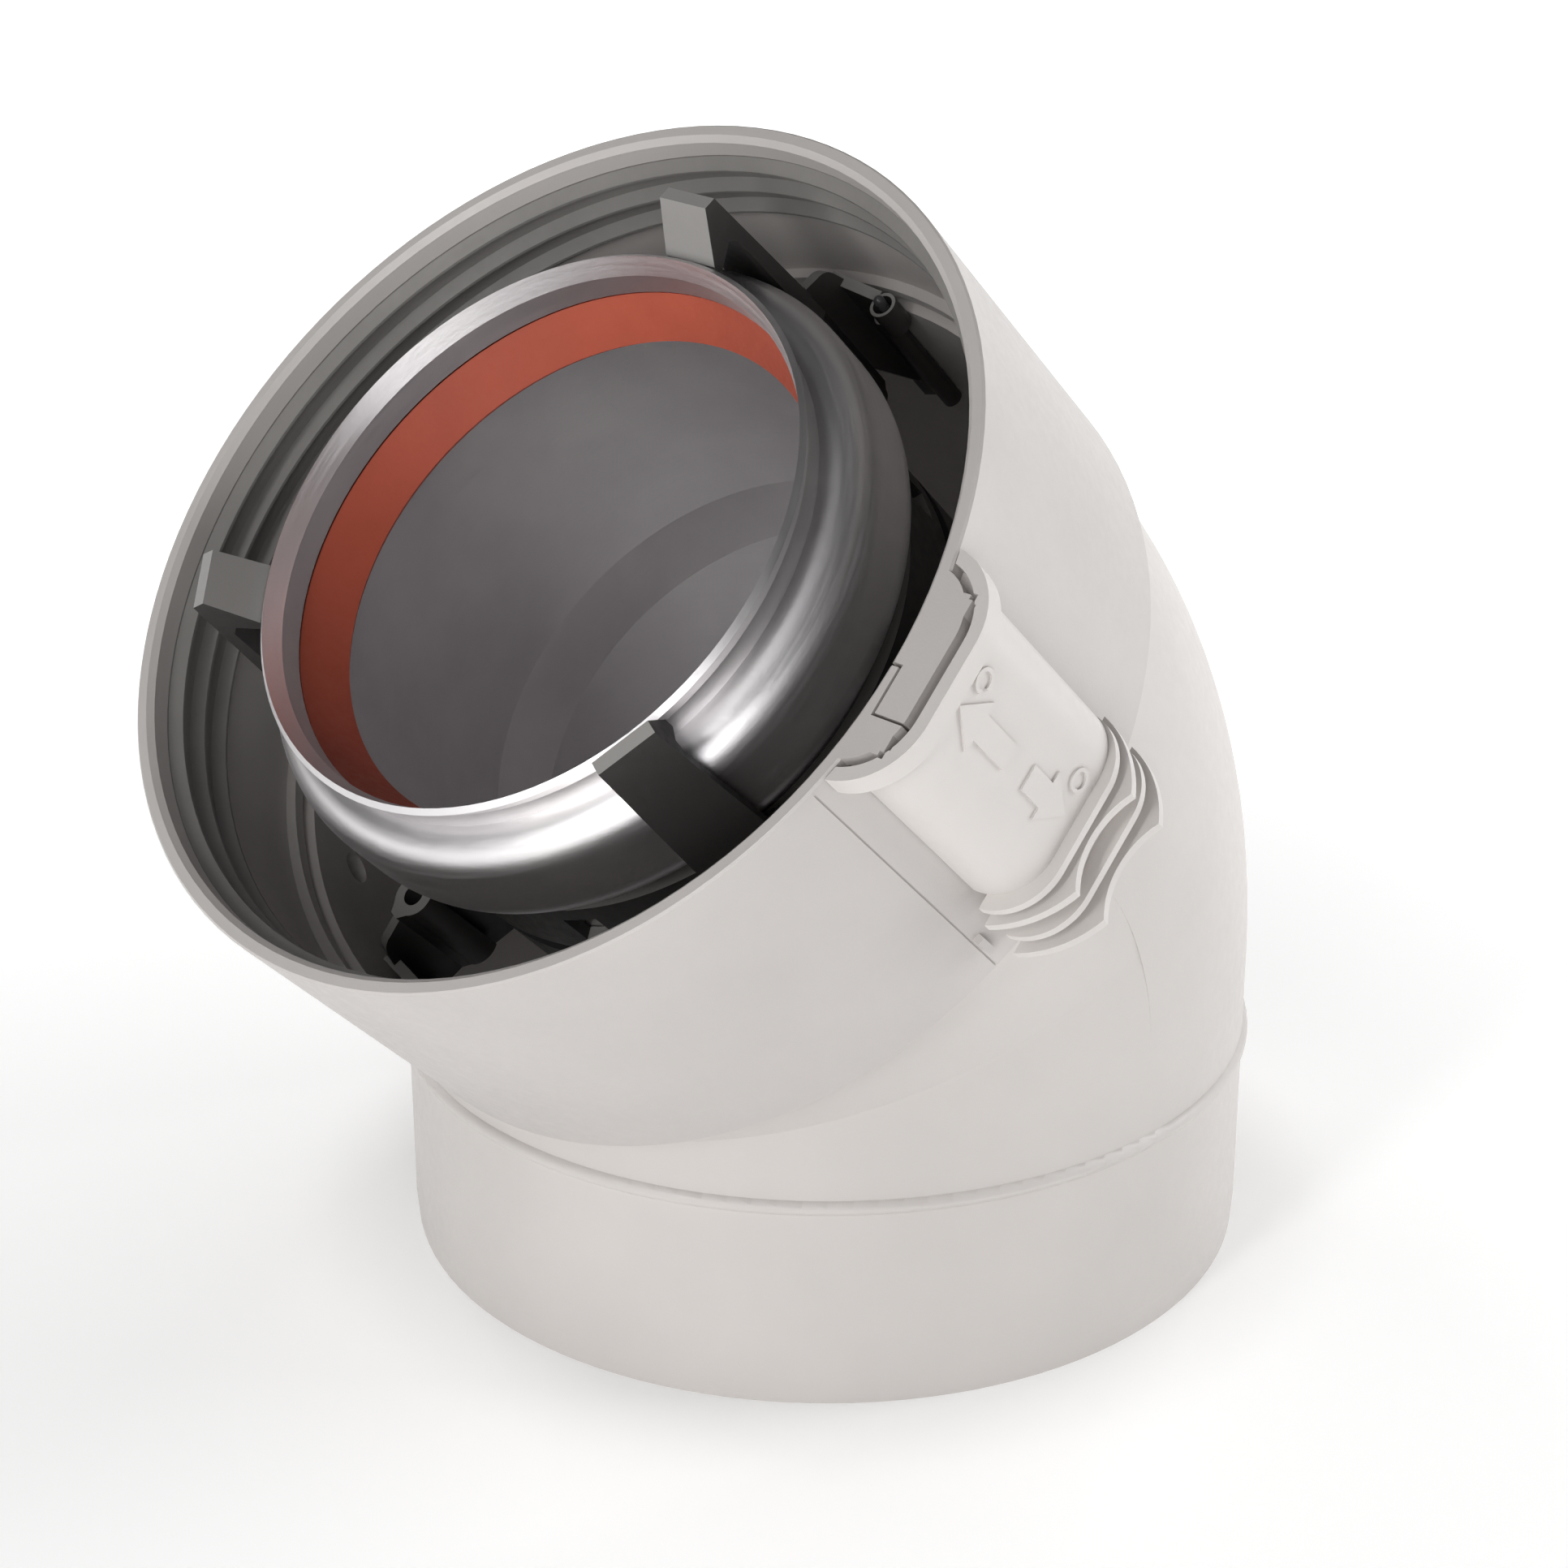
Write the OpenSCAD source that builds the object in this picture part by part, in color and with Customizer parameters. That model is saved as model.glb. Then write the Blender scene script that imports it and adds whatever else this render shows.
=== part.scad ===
// Twin-wall flue elbow, 45 degrees: a plastic air pipe around an aluminium flue pipe.
// Frame: origin at the centre of the outer spigot's end, +Z up the spigot, bend towards +X.
// In the socket's own frame +Z leaves the mouth, t = 0 is the mouth face and t is negative inside.

/* [Pipes] */
// Outside diameter of the outer (air) pipe
outer_d = 125; // [124.6:0.1:125.2]
// Wall of the outer elbow
outer_wall = 2.4; // [1.8:0.1:3]
// Outside diameter of the inner (flue) pipe
inner_d = 80; // [79.8:0.1:80]
// Wall of the inner pipe
inner_wall = 0.7; // [0.5:0.1:1]

/* [Bend] */
// Angle between spigot and socket
bend_angle = 45; // [44:0.5:46]
// Height of the point where the two axes meet
bend_z = 62.7; // [60:0.5:66]
// From that point to the socket's mouth
arm_len = 78.3; // [76:0.5:82]
// Bend radius of the outer side of the outer elbow
outer_bend_r = 47; // [44:1:50]
// Bend radius of the inner pipe
inner_bend_r = 44; // [43:0.5:50]

/* [Spigot] */
// Height of the tapered end
taper_h = 4; // [2:0.5:6]
// Radial amount of that taper
taper_in = 0.3; // [0.1:0.1:0.6]
// Height of the bead that stops in the next socket
bead_z = 30.8; // [28:0.2:32]
// Radius of the bead's round section
bead_r = 1.2; // [0.8:0.1:1.6]
// How far the inner spigot ends above the outer one
inner_recess = 2; // [1:0.5:5]

/* [Outer socket] */
// Outside diameter of the sleeve
sleeve_d = 130.6; // [130.2:0.1:131]
// Length of the sleeve
sleeve_len = 49.2; // [48:0.2:50]
// Bore that takes the next pipe
bore_d = 125.6; // [125.4:0.1:126]
// Depth of the ring that stops the next pipe
stop_t = 31; // [30:0.5:32]
// How far the seal's lips stand in from the bore
lip_h = 1.6; // [1:0.1:2]

/* [Latch] */
// Direction of the latch around the socket, from the inside of the bend
latch_turn = 89; // [85:1:95]
// Half the width of the slider's body
slider_half = 13.6; // [13.2:0.1:14]
// Distance of the slider's flat top from the socket axis
slider_top = 72.4; // [72:0.1:73]
// Clearance between slider and rails
slide_gap = 0.3; // [0.25:0.05:0.4]

/* [Inner socket] */
// Bore of the neck that takes the next flue pipe
neck_d = 80.4; // [80.3:0.1:80.6]
// How far the rim stands out of the outer mouth
rim_t = 3.6; // [3:0.2:4]
// Inner radius of the flue seal's lip
flue_lip_r = 37.1; // [36:0.1:38]

/* [Spacers] */
// Direction of the first hooked arm, from the inside of the bend
arm_turn = 59; // [55:1:65]
// Width of a hooked arm at its tip
arm_w = 8.5; // [8:0.5:10]
// Directions of the four wings
wing_turns = [182.6, 331.2, 112, 93];
// Depth of the four wings' front ends
wing_fronts = [20.5, 38, 35, 37];
// How far each wing is swung around its rib
wing_swings = [0, 9, 0, 0];
// Length of each wing
wing_lens = [35, 16.5, 22, 20];

/* [Hidden] */
$fn = 96;
outer_r = outer_d / 2;
inner_r = inner_d / 2;
sleeve_r = sleeve_d / 2;
bore_r = bore_d / 2;
neck_r = neck_d / 2;
groove_r = bore_r + 1.2;                // bottom of the groove that holds the outer seal
groove_t = [3.6, 16.6];                 // front and back of that groove
overlap_r = outer_r + 0.05;             // bore of the sleeve where it sits on the elbow
elbow_end_t = 34;                       // the elbow ends this far inside the sleeve
lead_in = 0.8;                          // chamfer inside the mouth
slit = 0.5;                             // gap between the two ends of the split sleeve
lap_gap = 0.4;                          // gaps between tongue, leaf and the other lug
lap_r = 64.8;                           // middle of the gap between leaf and tongue
tongue_y = -6.7;                        // middle of the gap at the tongue's end
head_t = 1.8;                           // thickness of the lugs' head
flange_t = 3.3;                         // thickness of the slider's front flange
rail_half = 11.2;
rail_top = 69.2;
rail_neck = 9.9;                        // half width of the rails under their edges
rail_step = 67.5;                       // where the rails widen
rear_step_t = 35;                       // the slider's rear part starts here
slider_len = 47.4;
rib_low = 66.3;                         // the finger ribs end this far from the axis
rib_shift = -1.1;                       // ribs and marks stand a little off the slider's middle
chamber_r = 5.8;                        // round section of the seal chamber, outside
chamber_t = [8.2, 14.8];                // centres of its two round ends
bend_end_t = arm_len - inner_bend_r * tan(bend_angle / 2);  // the inner bend ends at this depth
cone_t = 50.5;                          // the inner socket's tube narrows from here to the bend
cone_in = 2.3;                          // by this much
narrow_r = inner_r - cone_in;           // outer radius of the flue pipe in its bend
collar_t = [12, 21];                    // the tube's end behind the flue seal's lip
spacer_r = inner_r + 0.1;
hub_t = [40, 52];                       // front and back of the rear hub's ring
hub_rib_t = [3, 18];                    // front and back of its ribs, from the wing's front
hub_rib_limits = [38, 46];              // but every rib starts behind the first and ends behind the second
clip_len = 24;
head_r = 1.5;                           // round head of those ribs
clip_at = 49.5;                           // distance of those heads from the axis
clip_r = 3.2;                             // outside of the wing's clip around the head
wing_plate = 1.7;
wing_at = 59.6;                         // outer face of the wing
shoe_r = 1.45;                          // bar along the wing's free edge
shoe_at = [58.2, -4.2];
cup_r = 2;                              // cup that holds the pin
cup_at = [57.55, -7.2];
cup_t = [9, 14];
pin_r = 0.8;

// ---- frames ----

module at_arm() {
    translate([0, 0, bend_z]) rotate([0, bend_angle, 0]) children();
}

module at_mouth() {
    at_arm() translate([0, 0, arm_len]) children();
}

module at_latch() {
    at_mouth() rotate([0, 0, latch_turn]) children();
}

// Extrudes an outline drawn across the socket axis from depth t_front to depth t_back
module across(t_front, t_back) {
    translate([0, 0, -t_back]) linear_extrude(t_back - t_front) children();
}

// Flat ring of the given outer radius and wall
module ring(r, wall) difference() {
    circle(r);
    circle(r - wall);
}

// ---- bent pipes ----

// At the middle of a bend of the given radius, turned so that the pipe is at +X and starts along +Y
module at_bend(radius) {
    translate([radius, 0, bend_z - radius * tan(bend_angle / 2)]) mirror([1, 0, 0]) rotate([90, 0, 0]) children();
}

// At the upper end of that bend, with +Z along the arm
module at_bend_end(radius) {
    at_bend(radius) rotate([0, 0, bend_angle]) translate([radius, 0, 0]) rotate([-90, 0, 0]) children();
}

// Sweeps a section drawn at the bend radius through the bend
module swept_bend(radius) {
    at_bend(radius) rotate_extrude(angle = bend_angle, $fn = 180) children();
}

// The mitred inside of a bend in a round bar, up to the inner edge of its swept outside
module mitred_side(r, radius) {
    tangent = radius * tan(bend_angle / 2);
    intersection() {
        union() {
            translate([0, 0, bend_z - tangent - 1]) cylinder(r = r, h = tangent);
            at_bend_end(radius) translate([0, 0, 1 - tangent]) cylinder(r = r, h = tangent);
        }
        at_bend(radius) translate([0, 0, -r - 1]) cylinder(r = radius, h = 2 * r + 2);
    }
}

// Round bar that is mitred on the inside of the bend and swept on the outside
module mitred_bar(r, radius, z_low, s_high) {
    tangent = radius * tan(bend_angle / 2);
    translate([0, 0, z_low]) cylinder(r = r, h = bend_z - tangent - z_low);
    swept_bend(radius) intersection() {
        translate([radius, 0]) circle(r);
        translate([radius - 1, -r - 1]) square([r + 2, 2 * r + 2]);
    }
    mitred_side(r, radius);
    at_bend_end(radius) cylinder(r = r, h = s_high - tangent);
}

module outer_elbow() color("gainsboro") difference() {
    union() {
        mitred_bar(outer_r, outer_bend_r, taper_h, arm_len - elbow_end_t);
        cylinder(r1 = outer_r - taper_in, r2 = outer_r, h = taper_h);
        rotate_extrude() translate([outer_r - 0.4, bead_z]) circle(bead_r, $fn = 32);
        elbow_collar();
    }
    mitred_bar(outer_r - outer_wall, outer_bend_r, -1, arm_len - elbow_end_t + 1);
    drain_hole();
}

// Collar on the elbow that the sleeve's end faces
module elbow_collar() at_mouth() across(sleeve_len + 0.2, sleeve_len + 1.8) circle(outer_r + 1.4);

// Small locating hole in the elbow's wall, under the sleeve
module drain_hole() {
    at_mouth() rotate([0, 0, 314.4]) translate([outer_r - 4, 0, -44.1])
        rotate([0, 90, 0]) cylinder(r = 2.4, h = 8, $fn = 48);
}

// ---- outer socket ----

module sleeve_ring() rotate_extrude(angle = 360) polygon([
    [sleeve_r - 0.3, 0], [sleeve_r, -0.3], [sleeve_r, -sleeve_len], [overlap_r, -sleeve_len],
    [overlap_r, -stop_t - 1.8], [bore_r - 1.6, -stop_t - 1.8], [bore_r - 1.6, -stop_t],
    [bore_r, -stop_t], [bore_r, -groove_t[1]], [groove_r, -groove_t[1]], [groove_r, -groove_t[0]],
    [bore_r, -groove_t[0]], [bore_r, -lead_in], [bore_r + lead_in, 0]
]);

// Outline with a flat top and two round corners, from below the sleeve's surface
module arch(half, top, corner) {
    low = 58;
    translate([low, -half]) square([top - corner - low, 2 * half]);
    translate([low, corner - half]) square([top - low, 2 * (half - corner)]);
    for (side = [-1, 1]) translate([top - corner, side * (half - corner)]) circle(corner, $fn = 64);
}

// Rails of the two lugs, with undercut edges that hold the slider
module rail_outline() {
    translate([60, -rail_neck]) square([rail_top - 60, 2 * rail_neck]);
    translate([rail_step, -rail_half]) square([rail_top - rail_step - 0.6, 2 * rail_half]);
    translate([rail_step, 0.6 - rail_half]) square([rail_top - rail_step, 2 * (rail_half - 0.6)]);
}

// Z-shaped gap between the two ends of the sleeve
module lap_outline() {
    translate([58, -slit / 2]) square([lap_r - 58, slit]);
    translate([lap_r - lap_gap / 2, tongue_y - lap_gap / 2])
        square([lap_gap, slit / 2 + lap_gap / 2 - tongue_y]);
    translate([lap_r - lap_gap / 2, tongue_y - lap_gap / 2]) square([20, lap_gap]);
}

module latch_lugs() difference() {
    union() {
        across(0, head_t) arch(13.5, 69.7, 7.9);
        across(0, sleeve_len - 2.2) rail_outline();
    }
    translate([0, 0, -60]) cylinder(r = sleeve_r - 0.8, h = 70);
}

// Narrow groove along the sleeve, with the stop for the slider's ribs beside it
module side_line() rotate([0, 0, -16.3])
    translate([sleeve_r - 0.25, -0.12, -sleeve_len - 1]) cube([2, 0.25, sleeve_len]);

module side_stop() rotate([0, 0, -15.5])
    translate([sleeve_r - 0.5, -0.55, -45.3]) cube([1.7, 1.1, 3.4]);

module socket_sleeve() color("whitesmoke") at_latch() difference() {
    union() {
        sleeve_ring();
        latch_lugs();
        side_stop();
    }
    across(-1, sleeve_len + 1) lap_outline();
    side_line();
}

// ---- slider ----

module channel_outline() {
    translate([58, -rail_neck - slide_gap]) square([12, 2 * (rail_neck + slide_gap)]);
    translate([rail_step - slide_gap, -rail_half - slide_gap])
        square([rail_top - rail_step + 2 * slide_gap, 2 * (rail_half + slide_gap)]);
}

// High rib with a hollow for a fingertip
module finger_rib_outline() difference() {
    translate([61.1, 0]) circle(16.4);
    translate([86.6, 0]) circle(12.9);
    translate([slider_top + 5, -20]) square([10, 40]);
    translate([40, -20]) square([rib_low - 40, 40]);
}

module low_rib_outline() intersection() {
    arch(14.5, slider_top + 1.7, 8.5);
    translate([rib_low, -20]) square([20, 40]);
}

module slider_solid() {
    across(0, flange_t) arch(16.4, slider_top + 0.5, 10.8);
    across(0, rear_step_t) arch(slider_half, slider_top, 7.6);
    across(rear_step_t - 1, slider_len) arch(slider_half - 0.8, slider_top - 1, 7);
    translate([0, rib_shift, 0]) {
        for (t = [35, 42.8]) across(t, t + 1.2) low_rib_outline();
        for (t = [37.8, slider_len - 1.3]) across(t, t + 1.3) finger_rib_outline();
    }
}

// Arrow with its tip at the origin, pointing along +Y
module arrow() polygon([
    [0, 0], [3.5, -5.4], [1.8, -5.6], [1.8, -13.4], [-1.8, -13.4], [-1.8, -5.6], [-3.5, -5.4]
]);

// Short version for the other direction
module short_arrow() polygon([
    [0, 0], [3.5, -5.6], [1.8, -5.6], [1.8, -10.4], [-1.8, -10.4], [-1.8, -5.6], [-3.5, -5.6]
]);

module ring_mark() difference() {
    circle(1.7, $fn = 48);
    circle(1.15, $fn = 48);
}

module open_ring_mark() difference() {
    ring_mark();
    translate([-2.6, -2.2]) square([2, 1.7]);
}

// Raised marks on the slider's flat top: an arrow and a ring for each direction
module slider_marks() translate([slider_top - 0.1, 0, 0]) rotate([90, 0, 90]) linear_extrude(0.45) {
    translate([rib_shift, -3.5]) arrow();
    translate([rib_shift, -32.4]) rotate(180) short_arrow();
    translate([rib_shift + 4.5, -5.3]) open_ring_mark();
    translate([rib_shift + 4.6, -31.4]) ring_mark();
}

module latch_slider() color("white") at_latch() {
    difference() {
        slider_solid();
        across(-1, head_t + slide_gap) arch(14.6, 71.1, 9.2);
        across(-1, slider_len + 1) channel_outline();
        translate([0, 0, -60]) cylinder(r = sleeve_r + slide_gap, h = 70);
    }
    slider_marks();
}

// ---- seals ----

module lip(t) polygon([
    [bore_r + 0.2, -t], [bore_r - lip_h, -t - 1.3], [bore_r - lip_h, -t - 1.7], [bore_r + 0.2, -t - 2.9]
]);

module outer_seal() color("dimgray") at_mouth() rotate_extrude(angle = 360) {
    translate([bore_r, 0.05 - groove_t[1]])
        square([groove_r - bore_r - 0.05, groove_t[1] - groove_t[0] - 0.1]);
    for (t = [3.7, 8.5, 13.3]) lip(t);
}

module inner_seal() color("orangered") at_mouth() rotate_extrude(angle = 360) {
    polygon([[41, -5.6], [44.5, -5.6], [45.6, -8], [45.6, -15], [44, -17.6], [41, -17.6]]);
    polygon([
        [neck_r + 0.1, -3.5], [41.6, -4.2], [41.6, -8.4], [flue_lip_r + 0.5, -11.2], [flue_lip_r, -10.5]
    ]);
}

// ---- flue pipe ----

// A tube with a smooth bend, which it enters a little narrower than its lower end is
module inner_elbow() color("silver") {
    bend_start = bend_z - inner_bend_r * tan(bend_angle / 2);
    cone_start = bend_start - (bend_end_t - cone_t);
    rotate_extrude(angle = 360) polygon([
        [inner_r - inner_wall, inner_recess], [inner_r, inner_recess], [inner_r, cone_start],
        [narrow_r, bend_start], [narrow_r - inner_wall, bend_start], [inner_r - inner_wall, cone_start]
    ]);
    swept_bend(inner_bend_r) translate([inner_bend_r, 0]) ring(narrow_r, inner_wall);
}

// Section of the seal chamber, with round ends of the given radius
module chamber_section(r) {
    for (t = chamber_t) translate([neck_r + inner_wall, -t]) circle(r, $fn = 64);
    translate([neck_r + inner_wall, -chamber_t[1]]) square([r, chamber_t[1] - chamber_t[0]]);
}

// Everything inside the outer surface of the pressed socket, down to a radius of 34
module socket_outside() {
    polygon([
        [34, -bend_end_t], [narrow_r, -bend_end_t], [inner_r, -cone_t], [inner_r, -chamber_t[1]], [34, -chamber_t[1]]
    ]);
    chamber_section(chamber_r);
    translate([34, -chamber_t[0]]) square([neck_r + inner_wall - 34, chamber_t[0] + 0.5]);
    polygon([
        [34, 0.5], [neck_r + inner_wall, 0.5], [neck_r + 1.9, rim_t - 0.7], [neck_r + 1.2, rim_t], [34, rim_t]
    ]);
}

module socket_inside() {
    polygon([
        [33, -bend_end_t - 1], [narrow_r - inner_wall, -bend_end_t - 1],
        [narrow_r - inner_wall, -bend_end_t], [inner_r - inner_wall, -cone_t],
        [inner_r - inner_wall, 0], [33, 0]
    ]);
    chamber_section(chamber_r - inner_wall);
    translate([33, -chamber_t[0]]) square([neck_r - 33, chamber_t[0] + 0.7]);
    polygon([[33, 0.7], [neck_r, 0.7], [neck_r + 1.2, rim_t], [neck_r + 1.2, rim_t + 1], [33, rim_t + 1]]);
}

module inner_socket() color("lightgray") at_mouth() rotate_extrude(angle = 360) {
    difference() {
        socket_outside();
        socket_inside();
    }
    translate([inner_r - inner_wall, -collar_t[1]]) square([inner_wall, collar_t[1] - collar_t[0]]);
}

// ---- front spacer: a band with three arms hooked over the seal chamber ----

module arm_profile() polygon([
    [47, 9.2], [48.9, 8.8], [49.7, -12], [49.7, -18.6], [45.5, -20.4], [43, -28], [43, -37],
    [spacer_r + 0.8, -37], [spacer_r + 0.8, -24.4], [47.4, -18.2], [47.4, 1.5], [46.3, 2.7], [42.6, 1], [42.3, 2.5]
]);

module hooked_arm() intersection() {
    rotate([90, 0, 0]) translate([0, 0, -10]) linear_extrude(20) arm_profile();
    rotate([90, 0, 90]) linear_extrude(60)
        polygon([[arm_w / 2, 10], [arm_w / 2 + 2.2, -38], [-arm_w / 2 - 2.2, -38], [-arm_w / 2, 10]]);
}

module band_window() translate([30, -2.6, -34]) cube([20, 5.2, 6]);

module front_spacer() color([0.12, 0.12, 0.12]) at_mouth() {
    difference() {
        across(25, 37) ring(spacer_r + 1.9, 1.9);
        for (arm = [0:2], side = [-22, 22]) rotate([0, 0, arm_turn + 60 + 120 * arm + side]) band_window();
    }
    for (arm = [0:2]) rotate([0, 0, arm_turn + 120 * arm]) hooked_arm();
}

// ---- rear hub and wings ----

// Frame of one wing's rib, with z = 0 at the wing's front end
module at_wing(index) at_mouth() rotate([0, 0, wing_turns[index]])
    translate([0, 0, -wing_fronts[index]]) children();

// Rib that carries a wing on its round head, with a root where it crosses the hub's ring
module hub_rib(index) at_wing(index) {
    front = max(hub_rib_t[0], hub_rib_limits[0] - wing_fronts[index]);
    back = max(hub_rib_t[1], hub_rib_limits[1] - wing_fronts[index]);
    across(front, back) {
        translate([spacer_r + 2.9, -0.5]) square([clip_at - spacer_r - 2.9, 1]);
        translate([clip_at, 0]) circle(head_r, $fn = 48);
    }
    across(max(front, hub_t[0] - wing_fronts[index]), min(back, hub_t[1] - wing_fronts[index]))
        translate([spacer_r + 1, -0.5]) square([3, 1]);
}

module rear_hub() color([0.12, 0.12, 0.12]) {
    at_mouth() across(hub_t[0], hub_t[1]) ring(spacer_r + 1.9, 1.9);
    for (index = [0:3]) hub_rib(index);
}

// Clip around the rib's head, open towards the pipe, with the foot of the web
module wing_clip() difference() {
    union() {
        translate([clip_at, 0]) circle(clip_r, $fn = 64);
        polygon([[clip_at + 2, -2.3], [clip_at + 4, -0.8], [clip_at + 4, 0.8], [clip_at + 2, 2.3]]);
    }
    translate([clip_at, 0]) circle(head_r + 0.1, $fn = 48);
    polygon([[clip_at, 0], [clip_at - 3.2, -3.8], [clip_at - 3.2, 3.8]]);
}

// Side view of the web, with a slanted front, a rounded corner, a flared edge and a slanted back
module web_outline() {
    polygon([
        [clip_at + 2, 0], [56.4, -1.8], [55.4, -4.6], [58.3, -3.7],
        [wing_at, -8.2], [wing_at, -35], [clip_at + 2, -16]
    ]);
    translate([55.4, -4.6]) circle(3, $fn = 64);
}

// View of the wing's outer flange from outside, from the web to the bar and the cup
module flange_outline() polygon([
    [wing_plate / 2, -5.5], [cup_at[1] + 1.3, -cup_t[0]], [cup_at[1] + 1.3, -cup_t[0] - 2.8],
    [shoe_at[1], -cup_t[1]], [shoe_at[1], -33.5], [wing_plate / 2, -35]
]);

// The wing as on a rib at +X, its length given
module wing_shape(len) difference() {
    union() {
        across(0, min(len, clip_len)) wing_clip();
        intersection() {
            union() {
                translate([0, wing_plate / 2, 0]) rotate([90, 0, 0]) linear_extrude(wing_plate) web_outline();
                translate([wing_at - wing_plate, 0, 0]) rotate([90, 0, 90])
                    linear_extrude(wing_plate) flange_outline();
            }
            across(0, len) translate([clip_at, -10]) square([12, 12]);
        }
        across(cup_t[1] - 0.5, len) translate(shoe_at) circle(shoe_r, $fn = 64);
        across(cup_t[0], cup_t[1]) translate(cup_at) circle(cup_r, $fn = 64);
    }
    across(cup_t[0] - 1, cup_t[1] - 2) translate(cup_at) circle(cup_r - 0.5, $fn = 64);
    across(0, cup_t[1] + 1) translate(cup_at) circle(pin_r + 0.05, $fn = 48);
}

// Swings a wing around its rib's head; the second wing is a mirror image of the others
module swung(index) at_wing(index) translate([clip_at, 0, 0]) rotate([0, 0, wing_swings[index]])
    translate([-clip_at, 0, 0]) mirror([0, index == 1 ? 1 : 0, 0]) children();

module wing(index) color([0.14, 0.14, 0.14]) swung(index) wing_shape(wing_lens[index]);

// Pin with a round nose, in the wing's cup
module wing_pin(index) color([0.3, 0.3, 0.3]) swung(index) translate(cup_at) {
    across(cup_t[0] - 1, cup_t[1]) circle(pin_r, $fn = 48);
    translate([0, 0, 1 - cup_t[0]]) sphere(pin_r, $fn = 48);
}

outer_elbow();
socket_sleeve();
latch_slider();
outer_seal();
inner_elbow();
inner_socket();
inner_seal();
front_spacer();
rear_hub();
wing(0);  // wing_1
wing(1);  // wing_2
wing(2);  // wing_3
wing(3);  // wing_4
wing_pin(0);  // wing_pin_1
wing_pin(1);  // wing_pin_2
wing_pin(2);  // wing_pin_3
wing_pin(3);  // wing_pin_4
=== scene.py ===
import math

import bpy
from mathutils import Matrix, Vector


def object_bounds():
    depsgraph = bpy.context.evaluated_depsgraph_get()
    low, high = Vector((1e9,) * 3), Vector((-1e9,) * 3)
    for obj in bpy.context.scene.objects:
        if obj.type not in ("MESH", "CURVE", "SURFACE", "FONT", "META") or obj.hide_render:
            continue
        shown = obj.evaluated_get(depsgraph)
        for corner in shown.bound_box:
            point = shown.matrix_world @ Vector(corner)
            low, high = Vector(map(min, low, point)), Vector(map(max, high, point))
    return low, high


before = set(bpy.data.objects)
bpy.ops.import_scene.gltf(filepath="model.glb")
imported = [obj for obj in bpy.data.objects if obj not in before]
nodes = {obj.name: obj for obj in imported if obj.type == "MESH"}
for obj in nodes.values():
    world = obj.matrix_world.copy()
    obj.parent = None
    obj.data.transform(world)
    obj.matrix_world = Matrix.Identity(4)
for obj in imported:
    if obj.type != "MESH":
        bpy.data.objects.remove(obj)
cad_box = [list(corner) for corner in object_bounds()]

MM = 0.001
BEND = (0, 0, 62.7 * MM)                  # where the two pipe axes meet
ARM_TURN = (0, math.radians(45), 0)       # turns Z onto the arm's axis
ARM_AXIS = (0.7071, 0, 0.7071)


# ---- node helpers ----

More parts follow.
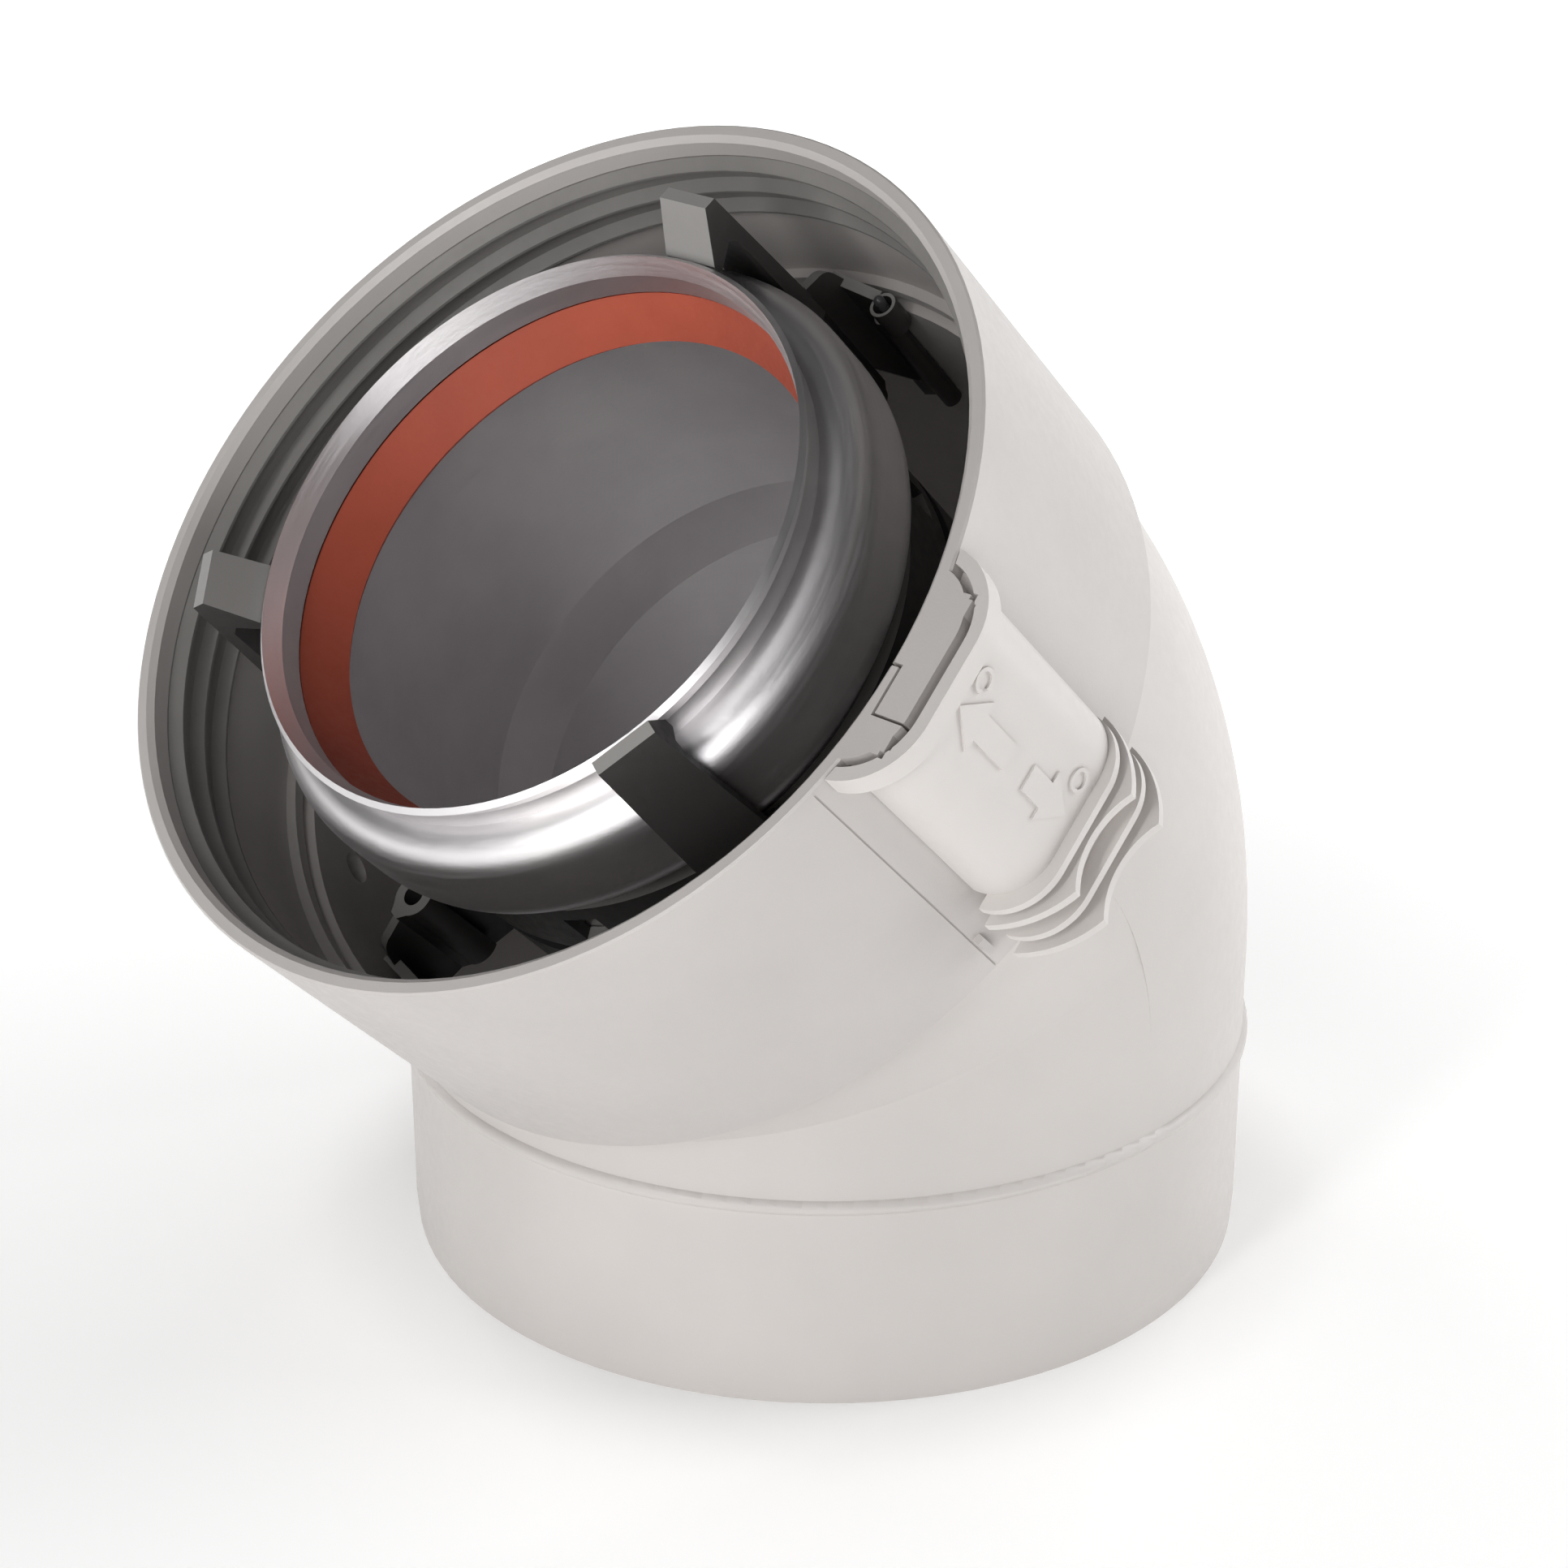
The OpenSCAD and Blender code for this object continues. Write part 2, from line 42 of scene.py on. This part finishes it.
class Shader:
    """A material with short calls for the procedural nodes that the finishes share."""

    def __init__(self, name):
        self.material = bpy.data.materials.new(name)
        self.material.use_nodes = True
        self.tree = self.material.node_tree
        self.bsdf = self.tree.nodes["Principled BSDF"]

    def node(self, kind, **values):
        made = self.tree.nodes.new(kind)
        for key, value in values.items():
            setattr(made, key, value)
        return made

    def link(self, source, target):
        self.tree.links.new(source, target)

    def place(self, scale=(1, 1, 1), turn=(0, 0, 0), at=(0, 0, 0)):
        """Object coordinates, scaled and turned for a texture."""
        coords = self.node("ShaderNodeTexCoord")
        mapping = self.node("ShaderNodeMapping", vector_type="TEXTURE")
        mapping.inputs["Location"].default_value = at
        mapping.inputs["Rotation"].default_value = turn
        mapping.inputs["Scale"].default_value = [1 / s for s in scale]
        self.link(coords.outputs["Object"], mapping.inputs["Vector"])
        return mapping.outputs["Vector"]

    def noise(self, where, scale, detail=3, rough=0.5):
        made = self.node("ShaderNodeTexNoise")
        made.inputs["Scale"].default_value = scale
        made.inputs["Detail"].default_value = detail
        made.inputs["Roughness"].default_value = rough
        self.link(where, made.inputs["Vector"])
        return made.outputs["Fac"]

    def spread(self, source, low, high, at=(0.3, 0.7)):
        """Maps a texture's middle range onto low to high."""
        made = self.node("ShaderNodeMapRange", clamp=True)
        made.inputs["From Min"].default_value = at[0]
        made.inputs["From Max"].default_value = at[1]
        made.inputs["To Min"].default_value = low
        made.inputs["To Max"].default_value = high
        self.link(source, made.inputs["Value"])
        return made.outputs["Result"]

    def ramp(self, source, stops):
        """Colours at their places along a value from 0 to 1."""
        made = self.node("ShaderNodeValToRGB")
        elements = made.color_ramp.elements
        while len(elements) < len(stops):
            elements.new(0.5)
        for element, (place, colour) in zip(elements, stops):
            element.position = place
            element.color = (*colour, 1)
        self.link(source, made.inputs["Fac"])
        return made.outputs["Color"]

    def bump(self, source, depth, before=None):
        """A normal from a height, depth in metres, on top of the bump before it."""
        made = self.node("ShaderNodeBump")
        made.inputs["Strength"].default_value = 1
        made.inputs["Distance"].default_value = depth
        self.link(source, made.inputs["Height"])
        if before:
            self.link(before, made.inputs["Normal"])
        return made.outputs["Normal"]

    def facing(self, direction, low, high):
        """0 to 1 as the surface turns towards a direction, from cosine low to cosine high."""
        geometry = self.node("ShaderNodeNewGeometry")
        dot = self.node("ShaderNodeVectorMath", operation="DOT_PRODUCT")
        dot.inputs[1].default_value = direction
        self.link(geometry.outputs["Normal"], dot.inputs[0])
        return self.spread(dot.outputs["Value"], 0, 1, (low, high))

    def mix(self, factor, first, colour):
        """The first colour where the factor is 0, a fixed one where it is 1."""
        made = self.node("ShaderNodeMix", data_type="RGBA")
        self.link(factor, made.inputs["Factor"])
        self.link(first, made.inputs["A"])
        made.inputs["B"].default_value = (*colour, 1)
        return made.outputs["Result"]

    def drive(self, socket, source):
        """Links a node's output to a socket of the Principled BSDF."""
        self.link(source, self.bsdf.inputs[socket])

    def fix(self, **values):
        """Sets plain values on the Principled BSDF, with _ for the spaces in a socket's name."""
        for key, value in values.items():
            self.bsdf.inputs[key.replace("_", " ")].default_value = value


# ---- materials ----

def moulded_plastic(name, colour, rough=0.42, grain=0.000018, tone=0.03, painted_light_colour=None):
    """Moulded plastic: a fine matt grain, faint flow clouds and a soft gloss.

    With a second colour given, the faces that look out of the mouth take it: painted light, a
    lighter base colour standing in for the light that falls on them, not a colour of the
    plastic."""
    s = Shader(name)
    plain = s.place()
    clouds = s.noise(plain, 38, 3)
    darker = [c * (1 - tone) for c in colour]
    lighter = [min(1, c * (1 + tone)) for c in colour]
    paint = s.ramp(clouds, [(0.32, darker), (0.68, lighter)])
    if painted_light_colour:
        # painted light: faces turned towards the arm's axis get the lighter colour in place of
        # real light
        paint = s.mix(s.facing(ARM_AXIS, 0.35, 0.6), paint, painted_light_colour)
    s.drive("Base Color", paint)
    s.drive("Roughness", s.spread(s.noise(plain, 620, 2), rough - 0.05, rough + 0.06))
    fine = s.bump(s.noise(plain, 2600, 2, 0.6), grain)
    s.drive("Normal", s.bump(s.noise(plain, 120, 2), grain * 2.2, fine))
    s.fix(IOR=1.49)
    return s.material


def drawn_aluminium(name, axis_turn, centre, rough=(0.34, 0.46)):
    """Aluminium turned on its axis: fine rings around it, short scuffs and soft stains."""
    s = Shader(name)
    across = s.place(scale=(1, 1, 30), turn=axis_turn, at=centre)
    plain = s.place()
    rings = s.noise(across, 55, 4, 0.6)
    fleck = s.noise(s.place(scale=(1, 1, 2.5), turn=axis_turn, at=centre), 700, 3, 0.6)
    stain = s.noise(plain, 45, 3)
    s.drive("Base Color", s.ramp(stain, [(0.3, (0.72, 0.70, 0.715)), (0.7, (0.84, 0.82, 0.82))]))
    s.drive("Roughness", s.spread(rings, *rough))
    s.drive("Normal", s.bump(fleck, 0.00002, s.bump(rings, 0.000005)))
    s.fix(Metallic=1.0, Anisotropic=0.4)
    return s.material


def silicone(name, colour):
    """Matt rubber with soft clouds and a very fine grain."""
    s = Shader(name)
    plain = s.place()
    darker = [c * 0.86 for c in colour]
    s.drive("Base Color", s.ramp(s.noise(plain, 70, 4), [(0.3, darker), (0.7, colour)]))
    s.drive("Roughness", s.spread(s.noise(plain, 900, 2), 0.5, 0.66))
    s.drive("Normal", s.bump(s.noise(plain, 1800, 2), 0.00002))
    s.fix(IOR=1.43)
    return s.material


# ---- finishes on the CAD nodes ----

LIGHT_GREY = (0.565, 0.535, 0.515)
PAINTED_LIGHT_GREY = (0.27, 0.26, 0.25)           # painted light: a lighter grey on black plastic where it looks out of the mouth, standing in for light falling there

finishes = {
    "outer_elbow": moulded_plastic("outer_plastic", LIGHT_GREY),
    "socket_sleeve": moulded_plastic("sleeve_plastic", (0.50, 0.473, 0.457)),
    "latch_slider": moulded_plastic("slider_plastic", (0.585, 0.555, 0.535), rough=0.38),
    "outer_seal": silicone("air_seal", (0.22, 0.21, 0.20)),
    "inner_elbow": drawn_aluminium("bend_aluminium", (0, 0, 0), (0, 0, 0)),
    "inner_socket": drawn_aluminium("socket_aluminium", ARM_TURN, BEND),
    "inner_seal": silicone("flue_seal", (0.42, 0.082, 0.045)),
    "front_spacer": moulded_plastic("spacer_plastic", (0.035, 0.033, 0.032), painted_light_colour=PAINTED_LIGHT_GREY),
    "rear_hub": moulded_plastic("hub_plastic", (0.03, 0.03, 0.03)),
}
wing_plastic = moulded_plastic("wing_plastic", (0.04, 0.037, 0.036), painted_light_colour=PAINTED_LIGHT_GREY)
pin_plastic = moulded_plastic("pin_plastic", (0.06, 0.06, 0.062), rough=0.28)
for name in nodes:
    if name.startswith("wing_pin"):
        finishes[name] = pin_plastic
    elif name.startswith("wing"):
        finishes[name] = wing_plastic

for name, finish in finishes.items():
    mesh = nodes[name].data
    mesh.materials.clear()
    mesh.materials.append(finish)


# ---- floor, light and camera ----

FLOOR_SIZE = 12
FLOOR_WHITE = (0.85, 0.85, 0.85, 1)
WORLD = 0.05                              # strength of the white surroundings
# The floor's own light: distance from the elbow's axis, strength
GLOW = ((0.055, 0.12), (0.08, 0.34), (0.2, 0.46), (1, 1))
LIGHTS_AIM = (0.02, 0, 0.08)
# Soft boxes: place, size, power
LIGHTS = {
    "right": ((-0.725, 0.606, 0.358), (0.6, 0.6), 5.5),
    "right_back": ((-0.909, -0.049, 0.446), (0.6, 0.6), 3.7),
    "mouth": ((0.727, 0, 0.787), (0.6, 0.6), 1.3),
    "streak": ((0.93, 0.17, 0.36), (0.15, 0.4), 3),
    "front_low": ((0.773, 0.653, 0.16), (0.6, 0.6), 3.7),
    "back_left": ((-0.103, -0.965, 0.313), (0.6, 0.6), 3.6),
}


LENS = 78.8
SENSOR = 36
CAMERA_AT = Vector((339.3, 318.1, 261.2)) * MM
CAMERA_AIM = Vector((-12.8, -20.8, 56.5)) * MM
CAMERA_ROLL = math.radians(-0.11)


def area_light(name, at, size, power):
    lamp = bpy.data.lights.new(name, "AREA")
    lamp.shape = "RECTANGLE"
    lamp.size, lamp.size_y = size
    lamp.energy = power
    made = bpy.data.objects.new(name, lamp)
    made.location = at
    made.rotation_euler = (Vector(LIGHTS_AIM) - Vector(at)).to_track_quat("-Z", "Y").to_euler()
    bpy.context.scene.collection.objects.link(made)


def pale_floor():
    """A white floor that glows more with distance, so that the picture has a white ground."""
    bpy.ops.mesh.primitive_plane_add(size=FLOOR_SIZE, location=(0, 0, cad_box[0][2]))
    made = bpy.context.object
    made.name = "floor"
    s = Shader("floor_paint")
    s.fix(Base_Color=FLOOR_WHITE, Roughness=0.8, Emission_Color=(1, 1, 1, 1))
    away = s.node("ShaderNodeVectorMath", operation="LENGTH")
    s.link(s.place(), away.inputs[0])
    glow = s.ramp(away.outputs["Value"], [(at, (strength,) * 3) for at, strength in GLOW])
    s.drive("Emission Strength", glow)
    made.data.materials.append(s.material)


def studio_light():
    world = bpy.data.worlds.new("studio")
    world.use_nodes = True
    backdrop = world.node_tree.nodes["Background"]
    backdrop.inputs["Color"].default_value = (1, 1, 1, 1)
    backdrop.inputs["Strength"].default_value = WORLD
    bpy.context.scene.world = world
    bpy.context.scene.view_settings.view_transform = "Standard"
    for name, (at, size, power) in LIGHTS.items():
        area_light(name, at, size, power)


def photo_camera():
    """The camera at the photo's place, found from the part's circles."""
    lens = bpy.data.cameras.new("camera")
    lens.lens = LENS
    lens.sensor_width = SENSOR
    made = bpy.data.objects.new("camera", lens)
    turn = (CAMERA_AIM - CAMERA_AT).to_track_quat("-Z", "Y").to_matrix().to_4x4()
    roll = Matrix.Rotation(CAMERA_ROLL, 4, "Z")
    made.matrix_world = Matrix.Translation(CAMERA_AT) @ turn @ roll
    bpy.context.scene.collection.objects.link(made)
    bpy.context.scene.camera = made


pale_floor()
studio_light()
photo_camera()
